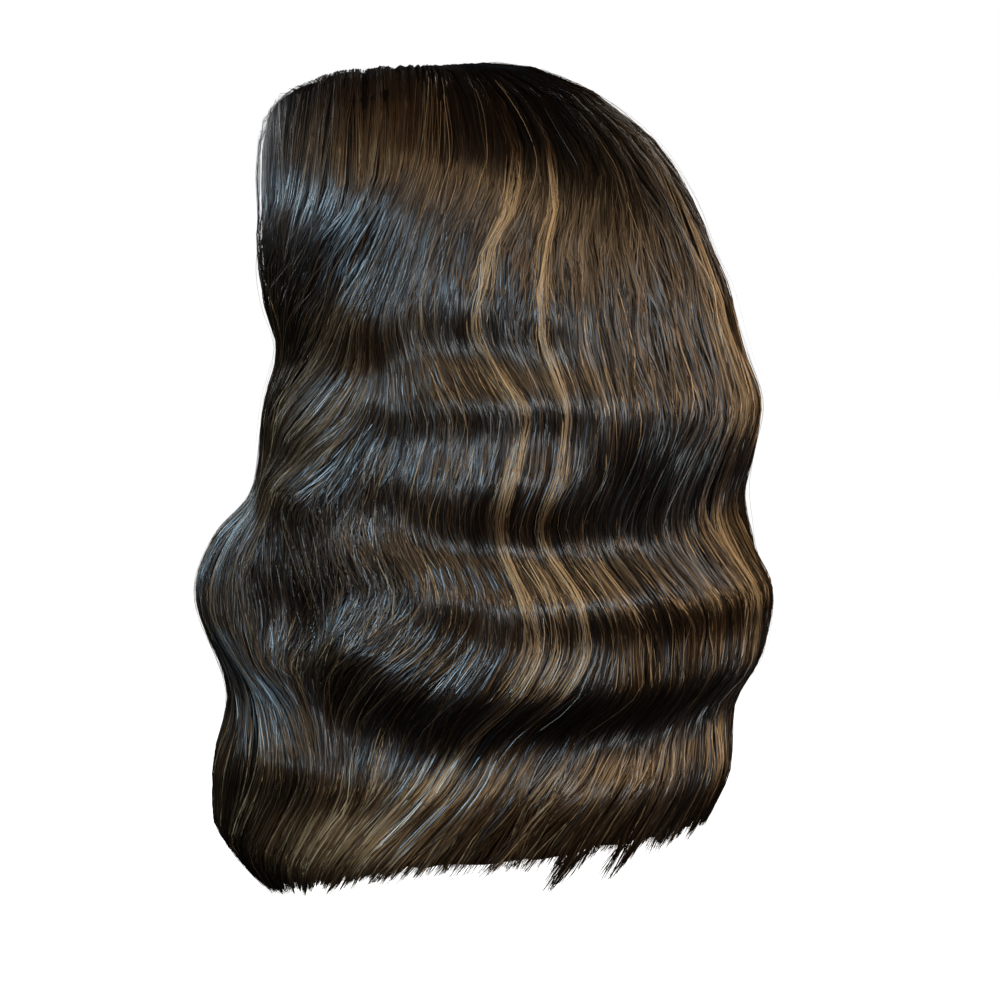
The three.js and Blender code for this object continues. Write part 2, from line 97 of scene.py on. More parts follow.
def curve_through(at, values, place):
    """A curve through points with no bulge between them: flat at each high and low,
    and elsewhere with the harmonic mean of the slopes on both sides. at holds the
    knots, values their values in columns (one column a place, or one for all)."""
    at = np.asarray(at, float)
    values = np.asarray(values, float)
    place = np.clip(np.asarray(place, float), at[0], at[-1])
    if values.ndim == 1:
        values = np.repeat(values[:, None], len(place), axis=1)
    gap = np.diff(at)[:, None]
    slope = np.diff(values, axis=0) / gap
    product = slope[:-1] * slope[1:]
    total = slope[:-1] + slope[1:]
    safe = np.where(np.abs(total) < tiny, 1.0, total)
    middle = np.where(product > 0, 2 * product / safe, 0.0)
    tangent = np.vstack([slope[:1], middle, slope[-1:]])
    i = np.clip(np.searchsorted(at, place, side="right") - 1, 0, len(at) - 2)
    n = np.arange(len(place))
    width = at[i + 1] - at[i]
    t = (place - at[i]) / width
    rise = values[i + 1, n] - values[i, n]
    leaving = tangent[i, n] * width - rise
    arriving = tangent[i + 1, n] * width - rise
    return values[i, n] + rise * t + t * (1 - t) * ((1 - t) * leaving - t * arriving)


def smooth(value):
    """Rises from 0 to 1 with flat ends: 3t^2 - 2t^3."""
    t = np.clip(value, 0, 1)
    return t * t * (3 - 2 * t)


def oval_radius(oval, turn):
    """Radius of an oval at a turn in degrees, measured from the back to the left."""
    angle = np.radians(turn)
    return 1 / np.hypot(np.sin(angle) / oval["x"], np.cos(angle) / oval["y"])


def dome_reach(radius, height, squareness, tilt):
    """Distance from the head's centre to a rounded dome: the superellipse of the
    given radius and height, at an angle tilt from straight up."""
    out = np.abs(np.sin(tilt)) / radius
    up = np.abs(np.cos(tilt)) / height
    return (out ** squareness + up ** squareness) ** (-1 / squareness)


def cap_surface(oval, ridge_height):
    """Points of one face of the cap: directions fan down from the top to the shaped
    edge, and each row of weft stands up as a narrow round ridge."""
    turn = np.arange(cap_around) * 360 / cap_around
    folded = np.where(turn > 180, 360 - turn, turn)
    edge_tilt = np.arccos(1 - curve_through(cap_edge_turn, cap_edge_depth, folded))
    tilt = edge_tilt[:, None] * np.linspace(cap_top_ring, 1, cap_down)[None, :]
    reach = dome_reach(oval_radius(oval, turn)[:, None], oval["z"], head_roundness, tilt)
    wave = np.cos(2 * np.pi * tilt * cap_inner["z"] / weft_spacing)
    ridge = np.clip(1 + weft_narrowness * (wave - 1), 0, 1)
    reach = reach + ridge_height * ridge * smooth((tilt - weft_from_tilt) / weft_fades_over)
    angle = np.radians(turn)[:, None]
    out = reach * np.sin(tilt)
    return np.stack([out * np.sin(angle), out * np.cos(angle), reach * np.cos(tilt) - cap_inner["z"]], 2)


def face_and_edge(columns, across, down):
    """Faces of a wall whose outer and inner points are two grids of the same size, one
    after the other: both its sides and its lower edge, for the columns given."""
    j = np.arange(down - 1)
    ii, jj = (grid.ravel() for grid in np.meshgrid(columns, j, indexing="ij"))
    nn = (ii + 1) % across
    inner = across * down
    outside = np.stack([ii * down + jj, ii * down + jj + 1, nn * down + jj + 1, nn * down + jj], 1)
    n = (columns + 1) % across
    last = down - 1
    bottom = np.stack([columns * down + last, inner + columns * down + last, inner + n * down + last,
                       n * down + last], 1)
    return [outside, outside[:, ::-1] + inner, bottom]


def cap_quads(across, down):
    """Faces of the cap: closed round, and each side's small top ring is filled with a
    row of quads from one half of the ring to the other."""
    step = np.arange(across // 2 - 1)
    left = step * down
    right = (across - 1 - step) * down
    lid = np.stack([left, left + down, right - down, right], 1)
    faces = face_and_edge(np.arange(across), across, down)
    return np.concatenate([*faces, lid, lid[:, ::-1] + across * down])


def wall_quads(across, down):
    """Faces of a wall with open columns at both ends, closed all round."""
    inner = across * down
    i = np.arange(across - 1) * down
    j = np.arange(down - 1)
    end = (across - 1) * down
    top = np.stack([i, i + down, inner + i + down, inner + i], 1)
    first_side = np.stack([j, inner + j, inner + j + 1, j + 1], 1)
    last_side = np.stack([end + j, end + j + 1, inner + end + j + 1, inner + end + j], 1)
    faces = face_and_edge(np.arange(across - 1), across, down)
    return np.concatenate([*faces, top, first_side, last_side])


def new_piece(name, points, quads, material, uv=None, tone=None):
    """Puts points (in millimetres) and four-cornered faces into a new mesh object
    that rides on the wig's one body. uv and tone are given for each point."""
    mesh = bpy.data.meshes.new(name)
    mesh.vertices.add(len(points))
    mesh.vertices.foreach_set("co", (points * millimetre).astype(np.float32).ravel())
    mesh.loops.add(quads.size)
    mesh.loops.foreach_set("vertex_index", quads.astype(np.int32).ravel())
    mesh.polygons.add(len(quads))
    mesh.polygons.foreach_set("loop_start", np.arange(0, quads.size, 4, dtype=np.int32))
    mesh.update(calc_edges=True)
    mesh.polygons.foreach_set("use_smooth", np.ones(len(quads), dtype=bool))
    if uv is not None:
        layer = mesh.uv_layers.new(name="UVMap")
        layer.data.foreach_set("uv", uv[quads.ravel()].astype(np.float32).ravel())
    if tone is not None:
        shade = mesh.attributes.new("tone", "FLOAT", "POINT")
        shade.data.foreach_set("value", tone.astype(np.float32).ravel())
    mesh.materials.append(material)
    piece = bpy.data.objects.new(name, mesh)
    bpy.context.scene.collection.objects.link(piece)
    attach(piece, "root")
    return piece


def net_material():
    """Dark brown net: threads along the edges of small cells, raised above them."""
    material = bpy.data.materials.new("cap_net")
    material.use_nodes = True
    nodes = material.node_tree.nodes
    links = material.node_tree.links
    shader = nodes["Principled BSDF"]
    shader.inputs["Roughness"].default_value = net_roughness
    place = nodes.new("ShaderNodeTexCoord")
    threads = nodes.new("ShaderNodeTexVoronoi")
    threads.feature = "DISTANCE_TO_EDGE"
    threads.inputs["Scale"].default_value = net_cells_per_metre
    links.new(place.outputs["Object"], threads.inputs["Vector"])
    colour = nodes.new("ShaderNodeValToRGB")
    colour.color_ramp.elements[0].position = net_thread_edges[0]
    colour.color_ramp.elements[0].color = net_thread_colour
    colour.color_ramp.elements[1].position = net_thread_edges[1]
    colour.color_ramp.elements[1].color = net_gap_colour
    links.new(threads.outputs["Distance"], colour.inputs["Fac"])
    links.new(colour.outputs["Color"], shader.inputs["Base Color"])
    bump = nodes.new("ShaderNodeBump")
    bump.invert = True
    bump.inputs["Strength"].default_value = net_bump
    bump.inputs["Distance"].default_value = net_thickness
    links.new(threads.outputs["Distance"], bump.inputs["Height"])
    links.new(bump.outputs["Normal"], shader.inputs["Normal"])
    return material


cap_points = np.concatenate([cap_surface(cap_outer, 0.0).reshape(-1, 3),
                             cap_surface(cap_inner, -weft_height).reshape(-1, 3)])
cap = new_piece("stretch_cap", cap_points, cap_quads(cap_around, cap_down), net_material())
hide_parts("cap")


# Set of the hair
# The waves that the hair is set in: how far it stands out from the head at each fold,
# how its strands swing from side to side, and the parting that they all start from.
hair_oval = {"x": cap_outer["x"] + 14.5, "y": cap_outer["y"] + 12.5, "z": cap_outer["z"] + 15.0}
hair_height = 400.0
hair_top = hair_oval["z"] - cap_inner["z"]
side_turn = np.array([-150, -110, -30, 5, 26, 48, 68, 89, 112, 150], float)
side_squareness = np.array([3.4, 2.5, 2, 2.02, 2.1, 2.2, 2.45, 2.75, 3.3, 5])
# For each side in turn, its crests and valleys: drop, and how far the hair stands out.
side_folds = [
    [(0, 1.04), (0.193, 1.03), (0.289, 0.99), (0.342, 0.93), (0.402, 0.98), (0.51, 1.02), (0.57, 1.14),
     (0.636, 1.24), (0.762, 1.12), (0.858, 1.16), (0.912, 1.1), (1.0, 0.92)],
    [(0, 1.03), (0.193, 1.04), (0.289, 1.06), (0.342, 1.04), (0.402, 1.1), (0.456, 1.08), (0.51, 1.09),
     (0.57, 1.14), (0.636, 1.22), (0.762, 1.12), (0.858, 1.15), (0.912, 1.07), (1.0, 0.9)],
    [(0, 1.02), (0.193, 1.03), (0.289, 1.11), (0.342, 1.165), (0.402, 1.235), (0.456, 1.205),
     (0.51, 1.16), (0.57, 1.205), (0.636, 1.28), (0.702, 1.23), (0.762, 1.11), (0.858, 1.055),
     (0.912, 0.93), (1.0, 0.68)],
    [(0, 1.035), (0.193, 1.045), (0.289, 1.09), (0.342, 1.145), (0.405, 1.2), (0.52, 1.11), (0.57, 1.165),
     (0.62, 1.26), (0.65, 1.242), (0.69, 1.24), (0.76, 1.12), (0.815, 1.15), (0.88, 1.06), (1.0, 0.8)],
    [(0, 1.04), (0.193, 1.04), (0.289, 1.08), (0.342, 1.125), (0.4, 1.18), (0.54, 1.09), (0.612, 1.245),
     (0.65, 1.226), (0.7, 1.232), (0.77, 1.1), (0.82, 1.14), (0.88, 1.07), (1.0, 0.83)],
    [(0, 1.035), (0.193, 1.04), (0.285, 1.085), (0.328, 1.075), (0.385, 1.13), (0.415, 1.11), (0.475, 1.16),
     (0.55, 1.1), (0.61, 1.228), (0.65, 1.212), (0.705, 1.226), (0.77, 1.1), (0.825, 1.13), (0.88, 1.06),
     (1.0, 0.86)],
    [(0, 1.035), (0.193, 1.04), (0.275, 1.075), (0.33, 1.045), (0.378, 1.095), (0.42, 1.065),
     (0.482, 1.125), (0.555, 1.085), (0.6, 1.18), (0.645, 1.163), (0.705, 1.188), (0.785, 1.08),
     (0.838, 1.12), (0.885, 1.09), (1.0, 0.89)],
    [(0, 1.03), (0.15, 1.045), (0.22, 1.025), (0.3, 1.055), (0.35, 1.01), (0.395, 1.05), (0.415, 1.04),
     (0.475, 1.08), (0.51, 1.07), (0.56, 1.12), (0.6, 1.1), (0.67, 1.205), (0.76, 1.09), (0.835, 1.15),
     (0.86, 1.14), (0.9, 1.155), (1.0, 0.94)],
    [(0, 1.03), (0.193, 1.05), (0.29, 1.03), (0.345, 0.995), (0.44, 1.08), (0.455, 1.075), (0.505, 1.14),
     (0.56, 1.125), (0.585, 1.13), (0.64, 1.105), (0.7, 1.155), (0.735, 1.14), (0.83, 1.19), (0.862, 1.175),
     (0.92, 1.19), (1.0, 0.97)],
    [(0, 1.04), (0.193, 1.03), (0.289, 0.98), (0.342, 0.92), (0.402, 0.97), (0.51, 1.02), (0.57, 1.2),
     (0.636, 1.29), (0.762, 1.15), (0.858, 1.22), (0.912, 1.22), (1.0, 0.98)],
]
guide_share = np.array([0, 0.07, 0.13, 0.215, 0.3, 0.39, 0.436, 0.48, 0.54, 0.78, 1])
guide_tip = np.array([1.0, 0.99, 0.98, 0.968, 0.955, 0.935, 0.922, 0.91, 0.895, 0.89, 0.98])
bend_drop = np.array([0.0, 0.1, 0.22, 0.3, 0.35, 0.4, 0.45, 0.52, 0.6, 0.65, 0.7, 0.76, 0.82, 0.88, 1.0])
bend_turn = np.array([
    [141, 96, 81, 76, 70, 46, 37, 25, 10, -61, -141],
    [142, 99, 84, 78, 71, 48, 38, 26, 11, -62, -142],
    [149, 114, 97, 87, 78, 59, 45, 33, 10, -60, -149],
    [152, 126, 106, 93, 82, 60, 46, 33, 9, -66, -153],
    [153, 136, 117, 96, 80, 55, 43, 32, 8, -69, -152],
    [154, 141, 128, 103, 77, 50, 41, 31, 9, -70, -151],
    [155, 144, 133, 115, 79, 52, 42, 31, 12, -67, -153],
    [155, 146, 138, 128, 81, 56, 46, 34, 14, -64, -155],
    [158, 150, 142, 131, 73, 50, 40, 29, 9, -70, -154],
    [158, 149, 142, 130, 77, 48, 38, 25, 6, -68, -156],
    [157, 148, 136, 126, 88, 52, 42, 25, 7, -66, -157],
    [158, 148, 128, 113, 97, 62, 52, 29, 10, -62, -155],
    [158, 149, 124, 108, 96, 70, 59, 36, 14, -64, -157],
    [159, 150, 130, 115, 102, 82, 69, 43, 17, -65, -158],
    [160, 153, 142, 131, 119, 106, 90, 60, 26, -58, -159],
], float)
part_side = 8.0
part_front = 82.0
part_back = 22.0
part_half_width = 1.5
whorl_radius = 4.5
part_share = 0.3
part_crowding = 2.2
root_thickness = 1.2
on_cap = 0.8
joins_guides_at = 0.5
full_thickness_at = 0.3
slip_size = 0.013
# Waves across and along the hair, their phase and their weight.
slip_waves = [(11, 0.45, 0.8, 1.0), (26, -1.3, 2.1, 0.7), (47, 1.9, 4.4, 0.5)]
form_columns = 900
form_crown_rows = 48
form_hanging_rows = 120


def drop_at(z):
    """Height as a share of the hair's height, down from its top."""
    return (hair_top - z) / hair_height


def round_the_head(turn, side_values):
    """Blends the values of the sides, one each, smoothly round a full turn."""
    angle = (turn - side_turn[0]) % 360 + side_turn[0]
    i = np.clip(np.searchsorted(side_turn, angle, side="right") - 1, 0, len(side_turn) - 1)
    following = (i + 1) % len(side_turn)
    upper = np.where(following == 0, side_turn[0] + 360, side_turn[following])
    t = smooth((angle - side_turn[i]) / (upper - side_turn[i]))
    n = np.arange(len(turn))
    return side_values[i, n] * (1 - t) + side_values[following, n] * t


def stands_out(turn, drop):
    """How far the hair stands out there, as a share of its oval."""
    at_sides = [curve_through(*np.transpose(folds), drop) for folds in side_folds]
    return round_the_head(turn, np.stack(at_sides))


def strand_turn(share, drop):
    """Turn of the strand with a given share, at a given drop: along each guide by
    drop, and then across the guides by share."""
    at_guides = np.stack([curve_through(bend_drop, turns, drop) for turns in bend_turn.T])
    return curve_through(guide_share, at_guides, share)


def on_cap_direction(x, y):
    """Direction from the head's centre to the point of the cap above a plan place."""
    used = np.abs(x / cap_outer["x"]) ** head_roundness + np.abs(y / cap_outer["y"]) ** head_roundness
    point = np.stack([x, y, cap_outer["z"] * (1 - used) ** (1 / head_roundness)])
    return point / np.linalg.norm(point, axis=0)


def root_direction(share):
    """Roots run along one side of the parting, round its end and back."""
    side = np.where(share < 0.5, 1.0, -1.0)
    inward = np.minimum(share, 1 - share) / part_share
    along = 1 - (1 - np.minimum(inward, 1)) ** part_crowding
    half = part_half_width + (whorl_radius - part_half_width) * along
    angle = np.pi * (share - part_share) / (1 - 2 * part_share)
    x = np.where(inward < 1, part_side + side * half, part_side + whorl_radius * np.cos(angle))
    y = np.where(inward < 1, -part_front + (part_front - part_back) * along,
                 -part_back + whorl_radius * np.sin(angle))
    return on_cap_direction(x, y)


def crown_form(share, q):
    """Points on the crown: a strand's direction leaves its root and joins the way its
    guides hang, and the strand is carried out to the hair's dome."""
    root = root_direction(share)
    root_tilt = np.arccos(root[2])
    tilt = root_tilt + (np.pi / 2 - root_tilt) * q
    turn = np.radians(strand_turn(share, drop_at(-cap_inner["z"] + hair_oval["z"] * np.cos(tilt))))
    joined = smooth(q / joins_guides_at)
    x = root[0] * (1 - joined) + np.sin(tilt) * np.sin(turn) * joined
    y = root[1] * (1 - joined) + np.sin(tilt) * np.cos(turn) * joined
    up = np.sqrt(np.maximum(0, 1 - x * x - y * y))
    turn = np.degrees(np.arctan2(x, y))
    tilt = np.arccos(up)
    inner = dome_reach(oval_radius(cap_outer, turn), cap_outer["z"], head_roundness, tilt) + on_cap
    level = -cap_inner["z"] + hair_oval["z"] * up
    square = round_the_head(turn, np.repeat(side_squareness[:, None], len(turn), axis=1))
    radius = oval_radius(hair_oval, turn) * stands_out(turn, drop_at(level))
    form = dome_reach(radius, hair_oval["z"], square, tilt)
    rise = np.sqrt(1 - (1 - np.minimum(q / full_thickness_at, 1)) ** 2)
    outer = inner + root_thickness + (form - inner - root_thickness) * rise
    return np.stack([x * outer, y * outer, up * outer - cap_inner["z"]], 1)


def hanging_form(share, down):
    """Points below the widest level of the head, for down from 0 there to 1 at the
    tips: the oval at the strand's turn, times how far the hair stands out."""
    tip = hair_top - hair_height * curve_through(guide_share, guide_tip, share)
    z = -cap_inner["z"] + (tip + cap_inner["z"]) * down
    turn = strand_turn(share, drop_at(z))
    radius = oval_radius(hair_oval, turn) * stands_out(turn, drop_at(z))
    angle = np.radians(turn)
    return np.stack([radius * np.sin(angle), radius * np.cos(angle), z], 1)


# The form is a grid: shares of the way round from the left front edge over the back to
# the right front edge, and levels, 0 at the roots, 1 at the head's widest and 2 at the tips.
form_share = np.linspace(0, 1, form_columns + 1)
crown_grid = np.meshgrid(form_share, np.linspace(0, 1, form_crown_rows + 1), indexing="ij")
hanging_grid = np.meshgrid(form_share, np.linspace(0, 1, form_hanging_rows + 1)[1:], indexing="ij")
hair_form = np.concatenate([
    crown_form(crown_grid[0].ravel(), crown_grid[1].ravel()).reshape(*crown_grid[0].shape, 3),
    hanging_form(hanging_grid[0].ravel(), hanging_grid[1].ravel()).reshape(*hanging_grid[0].shape, 3),
], axis=1)
form_rows = form_crown_rows + form_hanging_rows + 1
hair_normal = np.cross(np.gradient(hair_form, axis=1), np.gradient(hair_form, axis=0))
hair_normal /= np.linalg.norm(hair_normal, axis=2, keepdims=True) + tiny


def on_form(share, level, lift):
    """Points at shares and levels, raised along the normal by lift, and the normals:
    read between the four nearest points of the grid. Past the tips it runs straight."""
    across = np.clip(share, 0, 1) * form_columns
    i = np.minimum(across.astype(int), form_columns - 1)
    a = (across - i)[..., None]
    row = np.where(level < 1, level * form_crown_rows, form_crown_rows + (level - 1) * form_hanging_rows)
    j = np.clip(row.astype(int), 0, form_rows - 2)
    d = np.clip(row - j, 0, None)[..., None]
    above = hair_form[i, j] * (1 - a) + hair_form[i + 1, j] * a
    below = hair_form[i, j + 1] * (1 - a) + hair_form[i + 1, j + 1] * a
    normal = hair_normal[i, j] * (1 - a) + hair_normal[i + 1, j] * a
    return above + (below - above) * d + normal * lift[..., None], normal


def wave_slip(share, level):
    """The waves of neighbouring locks lie a little higher or lower: the sum of three
    crossed sines, as levels."""
    slip = sum(weight * np.sin(2 * np.pi * (share * across + level * along) + phase)
               for across, along, phase, weight in slip_waves)
    return slip_size * slip * smooth((level - 0.5) / 0.5) * (1 - 0.8 * smooth((level - 1.75) / 0.2))


# Hair sections
# Each is a group of locks combed together, a few centimetres wide, set with a round back and a groove
# between one lock and the next. This is the mass under the loose strands: hair pressed together into a
# body, tied to the cap at its roots, and coloured far darker than the strands as painted shade under them.
lock_groove = 2.4
sections = [
    {"name": "hair_left_front", "from": 0.0, "to": 0.13, "locks": 3, "strands": 700},
    {"name": "hair_left", "from": 0.13, "to": 0.235, "locks": 4, "strands": 1250},
    {"name": "highlight_left", "from": 0.235, "to": 0.255, "locks": 1, "strands": 330},
    {"name": "hair_left_back", "from": 0.255, "to": 0.38, "locks": 3, "strands": 1900},
    {"name": "highlight_back_left", "from": 0.38, "to": 0.4, "locks": 1, "strands": 230},
    {"name": "hair_back", "from": 0.4, "to": 0.426, "locks": 1, "strands": 270},
    {"name": "highlight_back", "from": 0.426, "to": 0.446, "locks": 1, "strands": 220},
    {"name": "hair_back_right", "from": 0.446, "to": 0.574, "locks": 4, "strands": 1350},
    {"name": "highlight_right", "from": 0.574, "to": 0.594, "locks": 1, "strands": 240},
    {"name": "hair_right", "from": 0.594, "to": 0.73, "locks": 3, "strands": 1300},
    {"name": "hair_right_side", "from": 0.73, "to": 0.87, "locks": 3, "strands": 850},
    {"name": "hair_right_front", "from": 0.87, "to": 1.0, "locks": 3, "strands": 800},
]
curtain_drop = np.array([0.34, 0.46, 0.57, 0.66, 0.76, 0.86, 0.92, 1.0])
curtain_out = np.array([0, 0.35, 1.05, 1.35, 1.0, 1.0, 0.5, -0.6])
curtain_clearance = 2.5
thinnest_hair = 4.5
over_curtain = 1.1
tip_thickness = 2.4
mass_columns_per_lock = 8
mass_crown_rows = 16
mass_hanging_rows = 32
mass_sunk = 2.2
mass_sunk_at_roots = 0.7
mass_end = 2.0
# The mass's tone is painted shade: far darker than the hair's own brown, for the depth under the strands.
mass_painted_shade_tone = 0.12
mass_thins_from = 1.78
thinnest_on_crown = 0.6
thinnest_mass = 1.0
uv_length = 200
shine_drawn_out = 0.75
line_stretch = 0.03
line_detail = 3.0
line_roughness = 0.65
line_contrast = 0.25
line_bump = 0.4
brown_ramp = [
    (0.0, (0.0025, 0.0018, 0.0014)),
    (0.3, (0.010, 0.0065, 0.0045)),
    (0.5, (0.029, 0.0165, 0.0085)),
    (0.7, (0.098, 0.058, 0.028)),
    (1.0, (0.56, 0.42, 0.24)),
]


def curtain_radius(turn, z):
    """Radius of the face between the inner curtain and the outer hair: the cap's oval
    widened by the curtain's spread, but always inside the outer hair."""
    spread = curve_through(curtain_drop, curtain_out, drop_at(z)) * (hair_oval["x"] - cap_outer["x"])
    hanging = oval_radius(hair_oval, turn) * stands_out(turn, drop_at(z))
    return np.minimum(oval_radius(cap_outer, turn) + curtain_clearance + spread,
                      hanging - thinnest_hair - over_curtain)


def lock_crown(share, section):
    """Round back of the locks: 0 in the grooves between them, 1 along their middles."""
    place = (share - section["from"]) / (section["to"] - section["from"]) * section["locks"]
    return np.abs(np.sin(np.pi * np.clip(place, 0, section["locks"])))


def hair_material(name, strands_per_unit, shine_roughness, shine, line_depth):
    """Glossy hair: its colour runs up a ramp with each piece's tone (the hair's own colour, with painted
    shade and painted light in it on the masses and strands) and lighter and darker lines along it, and the
    same lines stand up a little. The shine is drawn out across the strands, along u."""
    material = bpy.data.materials.new(name)
    material.use_nodes = True
    nodes = material.node_tree.nodes
    links = material.node_tree.links
    shader = nodes["Principled BSDF"]
    shader.inputs["Roughness"].default_value = shine_roughness
    shader.inputs["Anisotropic"].default_value = shine_drawn_out
    shader.inputs["Specular IOR Level"].default_value = shine
    across = nodes.new("ShaderNodeTangent")
    across.direction_type = "UV_MAP"
    across.uv_map = "UVMap"
    links.new(across.outputs["Tangent"], shader.inputs["Tangent"])
    place = nodes.new("ShaderNodeUVMap")
    place.uv_map = "UVMap"
    stretch = nodes.new("ShaderNodeMapping")
    stretch.inputs["Scale"].default_value = (strands_per_unit, line_stretch, 1.0)
    links.new(place.outputs["UV"], stretch.inputs["Vector"])
    lines = nodes.new("ShaderNodeTexNoise")
    lines.inputs["Scale"].default_value = 1.0
    lines.inputs["Detail"].default_value = line_detail
    lines.inputs["Roughness"].default_value = line_roughness
    links.new(stretch.outputs["Vector"], lines.inputs["Vector"])
    tone = nodes.new("ShaderNodeAttribute")
    tone.attribute_name = "tone"
    shift = nodes.new("ShaderNodeMath")
    shift.operation = "SUBTRACT"
    shift.inputs[1].default_value = line_contrast / 2
    links.new(tone.outputs["Fac"], shift.inputs[0])
    vary = nodes.new("ShaderNodeMath")
    vary.operation = "MULTIPLY_ADD"
    vary.inputs[1].default_value = line_contrast
    links.new(lines.outputs["Fac"], vary.inputs[0])
    links.new(shift.outputs["Value"], vary.inputs[2])
    colour = nodes.new("ShaderNodeValToRGB")
    colour.color_ramp.elements[0].position = brown_ramp[0][0]
    colour.color_ramp.elements[0].color = (*brown_ramp[0][1], 1)
    colour.color_ramp.elements[1].position = brown_ramp[-1][0]
    colour.color_ramp.elements[1].color = (*brown_ramp[-1][1], 1)
    for position, value in brown_ramp[1:-1]:
        colour.color_ramp.elements.new(position).color = (*value, 1)
    links.new(vary.outputs["Value"], colour.inputs["Fac"])
    links.new(colour.outputs["Color"], shader.inputs["Base Color"])
    bump = nodes.new("ShaderNodeBump")
    bump.inputs["Strength"].default_value = line_bump
    bump.inputs["Distance"].default_value = line_depth
    links.new(lines.outputs["Fac"], bump.inputs["Height"])
    links.new(bump.outputs["Normal"], shader.inputs["Normal"])
    return material


mass_hair = hair_material("hair_mass", strands_per_unit=900.0, shine_roughness=0.5, shine=0.25,
                          line_depth=0.0006)
mass_level = np.concatenate([np.linspace(0, 1, mass_crown_rows + 1),
                             1 + np.linspace(0, mass_end - 1, mass_hanging_rows + 1)[1:]])
head_centre = np.array([0, 0, -cap_inner["z"]])

for section in sections:
    columns = section["locks"] * mass_columns_per_lock + 1
    across = np.linspace(section["from"], section["to"], columns)
    share, level = np.meshgrid(across, mass_level, indexing="ij")
    sunk = mass_sunk_at_roots + (mass_sunk - mass_sunk_at_roots) * smooth(level / 0.4)
    lift = -lock_groove * (1 - lock_crown(share, section)) * smooth(level / 0.3) - sunk
    outer, _ = on_form(share, level + wave_slip(share, level), lift)
    from_centre = outer - head_centre
    distance = np.linalg.norm(from_centre, axis=2)
    turn = np.degrees(np.arctan2(outer[..., 0], outer[..., 1]))
    tilt = np.arccos(np.clip(from_centre[..., 2] / distance, -1, 1))
    cap_reach = dome_reach(oval_radius(cap_outer, turn), cap_outer["z"], head_roundness, tilt) + on_cap
    crown_in = np.minimum(cap_reach, distance - thinnest_on_crown) / distance
    flat = np.hypot(outer[..., 0], outer[..., 1])
    curtain = curtain_radius(turn.ravel(), outer[..., 2].ravel()).reshape(turn.shape) + over_curtain
    thinning = smooth((level - mass_thins_from) / (2 - mass_thins_from))
    hanging_in = curtain * (1 - thinning) + (flat - tip_thickness) * thinning
    hanging_in = np.minimum(hanging_in, flat - thinnest_mass) / flat
    sideways = np.stack([hanging_in, hanging_in, np.ones_like(hanging_in)], 2)
    on_crown = from_centre * crown_in[..., None] + head_centre
    inner = np.where((level <= 1)[..., None], on_crown, outer * sideways)
    points = np.concatenate([outer.reshape(-1, 3), inner.reshape(-1, 3)])
    uv = np.stack([share.ravel(), (level * uv_length).ravel()], 1)
    quads = wall_quads(columns, len(mass_level))
    mass = new_piece(section["name"] + "_mass", points, quads, mass_hair,
                     np.concatenate([uv, uv]), np.full(len(points), mass_painted_shade_tone))
    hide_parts(section["name"])


# Strands
# Loose hair over each section, tied to the cap in small tufts. Every strand is a
# narrow ribbon that keeps to its clump, tapers to its tip and is turned a little to
# one side, so that only some of them catch the light.
strand_random = np.random.default_rng(11)
strand_hair = hair_material("strand_hair", strands_per_unit=0.6, shine_roughness=0.345, shine=1.0,
                            line_depth=0.0001)
full_length = 0.58
full_rows = np.concatenate([np.linspace(0, 1, 12) ** 1.3, 1 + np.linspace(0, 1, 37)[1:]])
short_rows = 34
clump_width = 0.0085
wisp_width = 0.0032
strand_width = (0.26, 0.56)
strand_roll = 0.6
strand_swing = 0.0011
loose_swing = 0.0055
strand_lift = (-0.7, 0.5)
lift_swing = 0.12
gold_lift = 0.5
past_section = 0.008
layered_part = 0.2
layered_end = (1.45, 1.95)
short_start = (0.45, 1.25)
short_depth = 1.6
tip_level = 2.01
tip_uneven = 0.002
tip_uneven_within = (-0.012, 0.005)
# Golds: the share of their middle, how far they reach across, the levels where they
# begin and end, and how many of the strands there are gold.
golds = np.array([
    (0.222, 0.024, 0.92, 1.38, 0.5),
    (0.39, 0.008, 0.2, 1.95, 0.55),
    (0.436, 0.007, 0.2, 1.9, 0.5),
    (0.584, 0.010, 0.25, 2.1, 0.5),
    (0.412, 0.016, 1.1, 1.85, 0.24),
    (0.458, 0.014, 1.1, 1.75, 0.2),
])
gold_middle, gold_spread, gold_from, gold_to, gold_share = golds.T
gold_tone = 0.94
gold_tone_spread = 0.13
brown_tone = 0.37
tone_spread = 0.14
clump_tone_spread = 0.06
light_part = 0.12
lighter_by = (0.15, 0.45)
darkest_tone = 0.02
# Lighter and darker patches: share, level, how far they reach in both, and how much lighter. Some are the
# hair's own lighter brown; the darker ones are painted shade on the crown and in the hollows under the
# crests, and the lighter ones at the hem are painted light where it faces down.
tone_and_painted_light_patches = [
    (0.08, 0.42, 0.10, 0.16, 0.36), (0.14, 1.03, 0.05, 0.09, 0.25), (0.222, 1.12, 0.03, 0.12, 0.2),
    (0.17, 1.36, 0.04, 0.06, 0.28), (0.33, 1.52, 0.05, 0.08, 0.15), (0.36, 1.88, 0.16, 0.09, 0.38),
    (0.59, 1.25, 0.03, 0.35, 0.14), (0.54, 1.62, 0.06, 0.10, 0.22), (0.46, 0.55, 0.12, 0.35, -0.26),
    (0.51, 1.29, 0.04, 0.09, -0.18), (0.3, 0.15, 0.3, 0.10, -0.1), (0.38, 1.44, 0.11, 0.06, -0.14),
    (0.03, 1.34, 0.05, 0.10, 0.2), (0.29, 1.15, 0.03, 0.06, -0.16), (0.4, 1.74, 0.12, 0.05, -0.14),
    (0.5, 1.88, 0.06, 0.06, 0.16), (0.36, 1.98, 0.2, 0.05, 0.3), (0.49, 1.42, 0.08, 0.06, -0.1),
]
